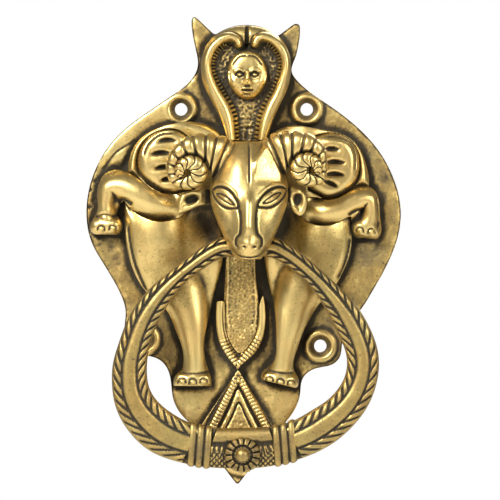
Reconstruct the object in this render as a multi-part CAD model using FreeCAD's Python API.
"""Cast brass ring knocker: a shaped back plate with two beasts that share one ram's head, a cobra
hood above, and a ring that swings in the ram's jaw and strikes a stud near the plate's point.

Frame, in millimetres: X to the right as seen from the front, Y into the door, Z up. The plate's flat
back lies on y = 0 with the origin at its middle, so everything stands out towards -Y.
"""

import FreeCAD, Part
import math
import os

from FreeCAD import Vector

# ---- driving dimensions -------------------------------------------------------------------------
PLATE = 5.0                 # thickness of the back plate
FRONT = -PLATE              # y of the plate's front face
BODY_TOP = -15.0            # front of the beasts' bodies
LEG_TOP = -16.0             # front of the raised forelegs
MANE_TOP = -15.0            # front of the ribbed lobes behind the horns
HOOD_TOP = -12.5            # front of the rolled hood rim
HOOD_FLOOR = -7.5           # floor of the hollow inside the hood
FACE_TOP = -12.0            # front of the little mask in the hood
PANEL_TOP = -7.5            # front of the rough panel between the hind legs
LOOP_TOP = -9.0             # front of the tail's loop
CHEVRON_TOP = -8.0          # front of the hatched chevron
EDGE_BREAK = 0.5            # chamfer round the plate's front edge

SCREW_HOLE_R = 2.7          # door screw holes
SCREW_SINK_R = 5.4          # their countersinks at the front face
SCREW_SINK_DEEP = 2.7
UPPER_HOLES = ((-27.0, 60.6), (27.0, 60.6))
LOWER_HOLES = ((-43.0, -38.2), (32.8, -41.0))

HEAD_X = 2.2                # the ram's head is centred here
PIVOT_Y = -21.0             # the ring swings about this line, which runs along X
PIVOT_Z = 1.5
PIN_R = 2.0
PIN_CLEARANCE = 0.06        # radial play of the pin in the ring's ends
PIN_IN_RING = 5.6           # how far the pin reaches into each end
THROAT = 5.6                # half the width of the jaw between the ring's ends
END_GAP = 0.5               # side play between the jaw and each ring end
END_R = 4.2                 # the round ends of the ring
END_POCKET_R = 7.0          # room for them behind the cheeks

RING_BACK = -17.5
RING_FRONT = -26.0

ROSETTE_X, ROSETTE_Z, ROSETTE_R = -0.6, -87.2, 7.2
ROSETTE_TOP = -29.0
BEAD_R = 3.0
SHANK_R = 2.0
STRIKER_R = 4.5
STRIKE_GAP = 0.3            # air between striker and stud with the ring hanging
STUD_TOP = -14.0
STUD_R = 5.5
STUD_SHANK_R = 3.0

BOLT_R = 2.0                # machine screws that hold the head from behind
BOLT_HEAD_R = 4.0
BOLT_Z = (17.0, 36.0)
BOLT_DEEP = 14.0
BOLT_PLAY = 0.15
BOLT_RECESS = 0.2            # their heads lie this deep in the plate


# ---- helpers ------------------------------------------------------------------------------------
def at(x, z, y=0.0):
    return Vector(x, y, z)


def edge(points):
    """A straight edge for two points, and a smooth one through three or more."""
    if len(points) == 2:
        return Part.LineSegment(*[at(*p) for p in points]).toShape()
    curve = Part.BSplineCurve()
    curve.interpolate([at(*p) for p in points])
    return curve.toShape()


def outline(*runs):
    """A closed face on y = 0. Each run starts where the last one ended, with a corner between."""
    edges = []
    for i, run in enumerate(runs):
        start = runs[i - 1][-1]
        edges.append(edge([start] + list(run)))
    return Part.Face(Part.Wire(edges))


def slab(face, front, back=FRONT):
    """The outline's solid between two depths."""
    lowered = face.copy()
    lowered.translate(Vector(0, back, 0))
    return lowered.extrude(Vector(0, front - back, 0))


def rod(x, z, radius, front, back):
    """A cylinder along Y."""
    return Part.makeCylinder(radius, back - front, at(x, z, front), Vector(0, 1, 0))


def cone(x, z, front_radius, back_radius, front, back):
    """A cone along Y."""
    return Part.makeCone(front_radius, back_radius, back - front, at(x, z, front), Vector(0, 1, 0))


def cross_rod(x_from, x_to, radius):
    """A cylinder along X on the pivot line."""
    return Part.makeCylinder(radius, x_to - x_from, at(x_from, PIVOT_Z, PIVOT_Y), Vector(1, 0, 0))


def ellipsoid(centre, radii):
    ball = Part.makeSphere(1.0)
    grow = FreeCAD.Matrix()
    grow.scale(*radii)
    ball = ball.transformGeometry(grow)
    ball.translate(Vector(*centre))
    return ball


def front_edges(shape, y):
    return [e for e in shape.Edges if all(abs(v.Point.y - y) < 1e-6 for v in e.Vertexes)]


# ---- the plate and its relief -------------------------------------------------------------------
def plate_outline():
    left = [(-21.9, 92), (-20.4, 85), (-19.8, 79.5), (-21.4, 75), (-25, 70.8), (-30.5, 66.8), (-37, 62.4),
            (-44, 57.6), (-51, 52.2), (-57.5, 45.4), (-62.6, 37.4), (-66, 28.6), (-67.6, 19), (-67.2, 10),
            (-65, 2.4), (-60.8, -5), (-56.2, -12.6), (-52.6, -19.6), (-50.8, -26.5), (-51.3, -32.5),
            (-50.8, -38.4), (-47.6, -43.2), (-41.6, -45.2), (-36.2, -47), (-32.8, -51), (-31.3, -57),
            (-30.6, -63), (-27.6, -69.6), (-22, -75.6), (-15.6, -83), (-9.6, -92)]
    right = [(10, -83), (17, -75), (22, -68), (24.2, -61), (24.9, -55.8), (28, -52), (33, -50.2), (38, -49),
             (41, -46.2), (42.2, -40), (43.4, -35), (46.4, -29.8), (50.5, -25), (54.6, -18.6), (59.2, -10.6),
             (63.4, -2), (66.4, 7), (67.4, 16), (66.2, 25), (63, 34), (57.8, 43), (51, 50.8), (43.4, 57.4),
             (35.6, 63), (28.6, 67.8), (23.4, 72.4), (20.4, 77.4), (21.8, 82), (23.4, 88), (24.1, 94.5)]
    return outline(
        [(8, 95.8), (1, 96.9), (-6, 95.8), (-12.5, 92.5)],
        [(-20.0, 99.6)],
        [(-21.6, 100.4), (-22.5, 98.8)],
        left,
        [(-3.6, -99.8)],
        [(-2.8, -100.4), (-2.0, -99.8)],
        [(3.8, -92.4)],
        right,
        [(23.4, 97.2), (21.4, 97.2)],
        [(14.5, 92)],
    )


def back_plate():
    plate = slab(plate_outline(), FRONT, 0.0)
    plate = plate.makeChamfer(EDGE_BREAK, front_edges(plate, FRONT))
    for x, z in UPPER_HOLES + LOWER_HOLES:
        plate = plate.cut(rod(x, z, SCREW_HOLE_R, FRONT - 1, 1))
        plate = plate.cut(cone(x, z, SCREW_SINK_R, SCREW_HOLE_R, FRONT, FRONT + SCREW_SINK_DEEP))
    for z in BOLT_Z:
        plate = plate.cut(rod(HEAD_X, z, BOLT_R + BOLT_PLAY, FRONT - 1, 1))
        plate = plate.cut(cone(HEAD_X, z, BOLT_R, BOLT_HEAD_R + BOLT_PLAY, -BOLT_HEAD_R / 2 - BOLT_PLAY, 0))
    return plate.cut(rod(ROSETTE_X, ROSETTE_Z, STUD_SHANK_R, FRONT - 1, 1))


def left_body():
    return slab(outline(
        [(-12, 52), (-20, 55), (-31, 54.2), (-40, 51), (-46.4, 45.6), (-49.4, 38), (-50.6, 28), (-51.2, 16),
         (-50.6, 4), (-48, -7), (-44, -15), (-38.6, -21), (-33, -26), (-29.8, -33), (-27, -40), (-26.4, -51)],
        [(-29.8, -54.4), (-30.2, -58)],
        [(-14, -58.2)],
        [(-14.2, -54.6), (-16, -49), (-17, -39), (-14.8, -28), (-12.6, -18), (-9.8, -8), (-9, 4)],
        [(-8, 49)],
    ), BODY_TOP)


def right_body():
    return slab(outline(
        [(8.6, 4), (9, -6), (10.8, -15), (13.2, -26), (13.8, -38), (11.6, -49), (7.8, -52.4), (7.6, -55.4)],
        [(22.6, -59)],
        [(23.2, -54.4), (21.6, -51.6), (22.6, -43), (25.6, -34.6), (29, -28), (32.6, -22.6), (37.6, -17.4),
         (42.2, -9.6), (45.6, -1), (46.8, 8), (50.6, 18), (53.6, 27), (52.6, 36), (50, 43), (45, 48.4),
         (38, 51), (29, 52.6), (20, 53.4), (14, 51.6), (10, 49.4)],
    ), BODY_TOP)


def left_foreleg():
    return slab(outline(
        [(-36, 12.4), (-42, 13.8), (-47.6, 17), (-51.6, 22)],
        [(-53.4, 18.6), (-54.2, 15), (-52.4, 12.4), (-52.4, 8.4), (-54.6, 6.8)],
        [(-63.8, 6.8)],
        [(-66, 9.2), (-64.8, 13.2), (-62.8, 17), (-62.9, 23), (-62, 29), (-59.2, 33.2), (-54.6, 34.6),
         (-49.6, 33.4), (-45, 30.4), (-40.4, 26.8), (-35, 24.6), (-29.6, 24.2), (-25.6, 22.4), (-24.4, 18.6),
         (-26.4, 15), (-30.8, 13.2)],
    ), LEG_TOP)


def right_foreleg():
    return slab(outline(
        [(33, 10.6), (38, 11.2), (43, 13.4), (46.6, 15)],
        [(45.5, 11), (46.4, 6.8), (51, 5.5)],
        [(56.8, 4.8)],
        [(58.6, 7), (58.4, 14), (58, 20), (56.4, 25.2), (52.4, 27.8), (47, 26.8), (42, 23.4), (36.6, 21.8),
         (32, 22.6), (27.6, 22.6), (24.4, 20.4), (23.8, 16.6), (25.8, 13.2), (29, 11.6)],
    ), LEG_TOP)


def left_mane():
    return slab(outline(
        [(-36.6, 25.4), (-42.4, 29.4), (-45.4, 35.4), (-45, 42), (-41.4, 48), (-35.6, 51.6), (-29, 52),
         (-24, 48.6)],
        [(-22, 26)],
        [(-30, 24)],
    ), MANE_TOP)


def right_mane():
    return slab(outline(
        [(29, 48.6)],
        [(35, 50.2), (43.8, 48.4), (48.2, 43.6), (49.6, 37), (48.4, 30.4), (44.4, 25.2), (38.6, 22.2),
         (33, 22.8)],
        [(27, 26)],
    ), MANE_TOP)


def hood_outline():
    return outline(
        [(10.4, 47)],
        [(11.2, 51.6), (13.2, 57.6), (16.4, 64.4), (19.2, 71), (20.2, 78), (19.3, 84.6), (16.6, 90),
         (12, 93.8), (6, 96), (1, 96.5), (-4, 96), (-10, 93.8), (-14.8, 90), (-17.6, 84.6), (-18.5, 78),
         (-17.4, 71.5), (-14.4, 65), (-10.8, 58), (-8.4, 52), (-7, 47)],
    )


def hood_hollow():
    return outline(
        [(4.6, 51)],
        [(5.6, 55), (8.4, 60.6), (11.6, 66.8), (14.2, 73), (15, 79), (13.6, 85), (10.4, 89), (6, 89.6),
         (1, 87.2), (-4, 89.6), (-8.4, 89), (-11.4, 85), (-12.6, 79), (-11.8, 73.4), (-9.4, 67.4),
         (-6, 61), (-3.4, 55), (-2.4, 51)],
    )


def cobra_hood():
    return slab(hood_outline(), HOOD_TOP).cut(slab(hood_hollow(), HOOD_TOP - 1, HOOD_FLOOR))


def hood_face():
    """The mask is half an egg that stands on the hollow's floor."""
    egg = ellipsoid((1.4, HOOD_FLOOR, 75.4), (8.8, HOOD_FLOOR - FACE_TOP, 10.8))
    return egg.common(Part.makeBox(40, 20, 60, at(-20, 50, HOOD_FLOOR - 20)))


LOOP_INNER = [(-8.2, -30), (-7.2, -36.4), (-4.8, -41.4), (-1.8, -44.2), (1.4, -42), (4.6, -37), (6, -31), (6.4, -24)]


def tail_loop():
    """The tail lies in a loop, like a long U that crosses itself at the bottom."""
    return slab(outline(
        [(-8.6, -22)] + LOOP_INNER,
        [(8.2, -19)],
        [(9.2, -26), (9, -33), (7.4, -39.6), (4, -44.6), (-0.4, -48.4), (-2.6, -51)],
        [(-4.8, -48.6), (-8.6, -43.4), (-11.2, -37), (-12, -30), (-11.8, -22)],
    ), LOOP_TOP)


def chest_panel():
    return slab(outline(
        [(-7.8, -4), (-8.2, -14), (-8.6, -22)] + LOOP_INNER + [(5.4, -14), (5, -4)],
        [(-7.4, 6)],
    ), PANEL_TOP)


def tail_chevron():
    return slab(outline([(-2.5, -51.2)], [(-20.2, -78)], [(14, -78)]), CHEVRON_TOP)


# ---- the ram's head -----------------------------------------------------------------------------
# height, half the width, front and back of the skull and muzzle, from the crown to the chin
HEAD_SECTIONS = (
    (46.5, 7.5, -25.0, -14.0),
    (39.0, 12.5, -31.0, -11.0),
    (29.0, 16.4, -35.0, -10.0),
    (20.0, 16.2, -37.5, -12.0),
    (10.0, 12.6, -39.5, -14.0),
    (3.0, 9.4, -40.0, -15.5),
    (-3.8, 4.8, -38.0, -22.0),
)


def head_section(z, half, front, back):
    middle, deep = (front + back) / 2, (back - front) / 2
    wide = max(half, deep)
    narrow = min(half, deep)
    along = Vector(1, 0, 0) if half >= deep else Vector(0, 1, 0)
    ring = Part.Ellipse(at(HEAD_X, z, middle) + along * wide,
                        at(HEAD_X, z, middle) + Vector(0, 0, 1).cross(along) * narrow,
                        at(HEAD_X, z, middle))
    return Part.Wire(ring.toShape())


def ram_head():
    skull = Part.makeLoft([head_section(*s) for s in HEAD_SECTIONS], True)
    neck = slab(outline([(HEAD_X + 9, 8)], [(HEAD_X + 11, 26), (HEAD_X + 7, 43)], [(HEAD_X - 7, 43)],
                        [(HEAD_X - 11, 26), (HEAD_X - 9, 8)]), -18.0)
    head = skull.fuse(neck).removeSplitter()
    reach = 40.0
    head = head.cut(cross_rod(HEAD_X + THROAT, HEAD_X + reach, END_POCKET_R))
    head = head.cut(cross_rod(HEAD_X - reach, HEAD_X - THROAT, END_POCKET_R))
    head = head.cut(cross_rod(HEAD_X - reach, HEAD_X + reach, PIN_R))
    for z in BOLT_Z:
        head = head.cut(rod(HEAD_X, z, BOLT_R, -BOLT_DEEP, 1))
    return head


def horn(side):
    """One curled horn: a thick ring of horn, its coiled tip in front and its root on the forehead."""
    x = HEAD_X + side * 23.6
    curl = Part.makeTorus(6.4, 5.8, at(x, 37.6, -25.0), Vector(0, 1, 0))
    tip = ellipsoid((x - side * 0.4, -27.4, 34.0), (7.2, 7.0, 7.4))
    root = Part.makeCone(6.6, 7.6, 17.0, at(x - side * 2, 41.6, -24.6), Vector(-side, 0.12, -0.12))
    return curl.fuse([tip, root]).removeSplitter()


def left_ear():
    return slab(outline(
        [(-13.6, 20.6), (-18, 19.4), (-23.6, 17), (-28.2, 15.8)],
        [(-28, 20), (-26.4, 24.4)],
        [(-20, 26), (-12.6, 25.6)],
    ), -23.0, -18.5)


def right_ear():
    return slab(outline(
        [(19.4, 20), (21.4, 16.2), (24.2, 14.8), (26.2, 17), (26.8, 21.6), (24.6, 25.8), (17.6, 26.4)],
        [(16.6, 24)],
    ), -23.0, -18.5)


def pivot_pin():
    half = THROAT + END_GAP + PIN_IN_RING
    pin = cross_rod(HEAD_X - half, HEAD_X + half, PIN_R)
    return pin.makeChamfer(0.4, [e for e in pin.Edges if isinstance(e.Curve, Part.Circle)])


def head_bolts():
    """Two countersunk machine screws that come through the plate from behind."""
    bolts = []
    for z in BOLT_Z:
        shank = rod(HEAD_X, z, BOLT_R, -BOLT_DEEP + 1, -BOLT_HEAD_R / 2)
        sunk = cone(HEAD_X, z, BOLT_R, BOLT_HEAD_R - BOLT_RECESS, -BOLT_HEAD_R / 2, -BOLT_RECESS)
        slot = Part.makeBox(2 * BOLT_HEAD_R + 1, 1.0, 1.0, at(HEAD_X - BOLT_HEAD_R - 0.5, z - 0.5, -1.0))
        bolts.append(shank.fuse(sunk).cut(slot))
    return Part.makeCompound(bolts)


def strike_stud():
    """A domed stud riveted through the plate, where the ring strikes."""
    boss = rod(ROSETTE_X, ROSETTE_Z, STUD_R, STUD_TOP, FRONT)
    boss = boss.makeFillet(1.2, front_edges(boss, STUD_TOP))
    shank = rod(ROSETTE_X, ROSETTE_Z, STUD_SHANK_R, FRONT, -0.2)
    return boss.fuse(shank)


# ---- the ring -----------------------------------------------------------------------------------
# Points round the ring from the jaw down to the bar. The casting is uneven, so each side has its own.
LEFT_OUTER = [(-9.8, 5.6), (-13.4, 4.2), (-18.6, 1.2), (-24.8, -3.5), (-32.2, -9.2), (-39.6, -15.6), (-45.6, -22.6),
              (-50.2, -30.6), (-53.6, -40), (-56, -48.4), (-56.4, -55), (-55.9, -62), (-53.8, -69.5), (-48.6, -78),
              (-39.7, -85.9), (-29.8, -89.8), (-19.8, -92), (-10.6, -92.9)]
RIGHT_OUTER = [(13, 5.6), (16.6, 4.2), (21.5, 1.2), (27.5, -3.6), (34.5, -9.8), (41.6, -16.4), (48.2, -23.6),
               (53.2, -31.8), (56.4, -39.6), (57.7, -46.4), (57.4, -53), (55.9, -59.5), (51.8, -68.4), (45.8, -75.8),
               (38.6, -82), (29.8, -86.8), (19.9, -90.2), (9.6, -92.4)]
LEFT_INNER = [(-6.8, -2.4), (-11.7, -4.2), (-18.8, -8.8), (-25.2, -14), (-30.4, -20.2), (-35, -27.6), (-39, -36.6),
              (-41.1, -45.6), (-41.4, -53), (-40.1, -59.5), (-36.3, -65), (-31, -69.3), (-25, -72.7), (-19, -74.8)]
RIGHT_INNER = [(9.6, -2.4), (14.4, -4.2), (21.3, -8.8), (27.2, -14.2), (32, -20.4), (36.2, -27.6), (40.4, -36),
               (43.6, -44), (44, -49.6), (42.6, -55), (39.8, -59.6), (35, -64.4), (29, -68.2), (23.6, -71.4),
               (18, -73.9)]
RING_BOTTOM_OUTER = (-0.6, -93.1)
RING_BOTTOM_INNER = (-1, -75.6)


def knocker_ring():
    outer = LEFT_OUTER + [RING_BOTTOM_OUTER] + RIGHT_OUTER[::-1]
    inner = RIGHT_INNER + [RING_BOTTOM_INNER] + LEFT_INNER[::-1]
    ring = slab(outline(outer[:1], outer[1:], inner[:1], inner[1:]), RING_FRONT, RING_BACK)
    ring = ring.makeChamfer(1.6, front_edges(ring, RING_FRONT))
    near = THROAT + END_GAP
    for side in (-1, 1):
        span = sorted((HEAD_X + side * near, HEAD_X + side * (near + 7.4)))
        ring = ring.fuse(cross_rod(*span, END_R))
    keep_clear = cross_rod(HEAD_X - near, HEAD_X + near, END_POCKET_R)
    ring = ring.cut(keep_clear)
    reach = near + PIN_IN_RING + 0.4
    ring = ring.cut(cross_rod(HEAD_X - reach, HEAD_X + reach, PIN_R + PIN_CLEARANCE))
    ring = ring.cut(rod(ROSETTE_X, ROSETTE_Z, SHANK_R, RING_FRONT - 1, RING_BACK + 1))
    return ring.removeSplitter()


def collar(x_from, x_to, low, high, ring):
    """A triple-banded sleeve cast round the bar of the ring."""
    sleeve = Part.makeBox(x_to - x_from, RING_BACK - RING_FRONT + 1.4, high - low, at(x_from, low, RING_FRONT - 0.7))
    along = [e for e in sleeve.Edges if abs(e.tangentAt(e.FirstParameter).x) > 0.9]
    return sleeve.makeChamfer(2.0, along).cut(ring)


def rosette():
    flower = rod(ROSETTE_X, ROSETTE_Z, ROSETTE_R, ROSETTE_TOP, RING_FRONT)
    flower = flower.makeChamfer(1.2, front_edges(flower, ROSETTE_TOP))
    return flower.cut(rod(ROSETTE_X, ROSETTE_Z, SHANK_R, ROSETTE_TOP - 1, RING_FRONT + 1))


def striker_rivet():
    """The rivet that holds the rosette: a bead in front, and behind the bar the knob that strikes."""
    bead = Part.makeSphere(BEAD_R, at(ROSETTE_X, ROSETTE_Z, ROSETTE_TOP))
    bead = bead.common(rod(ROSETTE_X, ROSETTE_Z, 2 * BEAD_R, ROSETTE_TOP - 2 * BEAD_R, ROSETTE_TOP))
    shank = rod(ROSETTE_X, ROSETTE_Z, SHANK_R, ROSETTE_TOP, RING_BACK)
    knob = rod(ROSETTE_X, ROSETTE_Z, STRIKER_R, RING_BACK, STUD_TOP - STRIKE_GAP)
    return bead.fuse([shank, knob]).removeSplitter()


# ---- the assembly -------------------------------------------------------------------------------
def build():
    """Every node by name. A piece that lies under another gives way to it."""
    head = ram_head()
    horns = {"left_horn": horn(-1).cut(head), "right_horn": horn(1).cut(head)}
    ears = {"left_ear": left_ear().cut(head).cut(horns["left_horn"]),
            "right_ear": right_ear().cut(head).cut(horns["right_horn"])}
    legs = {"left_foreleg": left_foreleg(), "right_foreleg": right_foreleg()}
    manes = {"left_mane": left_mane().cut(legs["left_foreleg"]),
             "right_mane": right_mane().cut(legs["right_foreleg"])}
    hood = cobra_hood().cut(head)
    loop = tail_loop()
    ring = knocker_ring()
    return {
        "back_plate": back_plate(),
        "left_beast_body": left_body().cut(head).cut(legs["left_foreleg"]).cut(manes["left_mane"]).cut(hood),
        "right_beast_body": right_body().cut(head).cut(legs["right_foreleg"]).cut(manes["right_mane"]).cut(hood),
        **legs,
        **manes,
        "cobra_hood": hood,
        "hood_face": hood_face(),
        "chest_panel": chest_panel().cut(head).cut(loop).cut(left_body()).cut(right_body()),
        "tail_loop": loop,
        "tail_chevron": tail_chevron().cut(loop).cut(left_body()).cut(right_body()),
        "ram_head": head,
        **horns,
        **ears,
        "pivot_pin": pivot_pin(),
        "head_bolts": head_bolts(),
        "strike_stud": strike_stud(),
        "knocker_ring": ring,
        "left_collar": collar(-23.6, -13.8, -93.3, -74.2, ring),
        "right_collar": collar(12.4, 22.2, -92.6, -73.4, ring),
        "rosette": rosette(),
        "striker_rivet": striker_rivet(),
    }


def main():
    os.makedirs("parts", exist_ok=True)
    for name, shape in build().items():
        print(f"{name}: {len(shape.Solids)} solids, {shape.Volume / 1000:.2f} cm3, valid {shape.isValid()}")
        shape.exportStep(f"parts/{name}.step")


main()
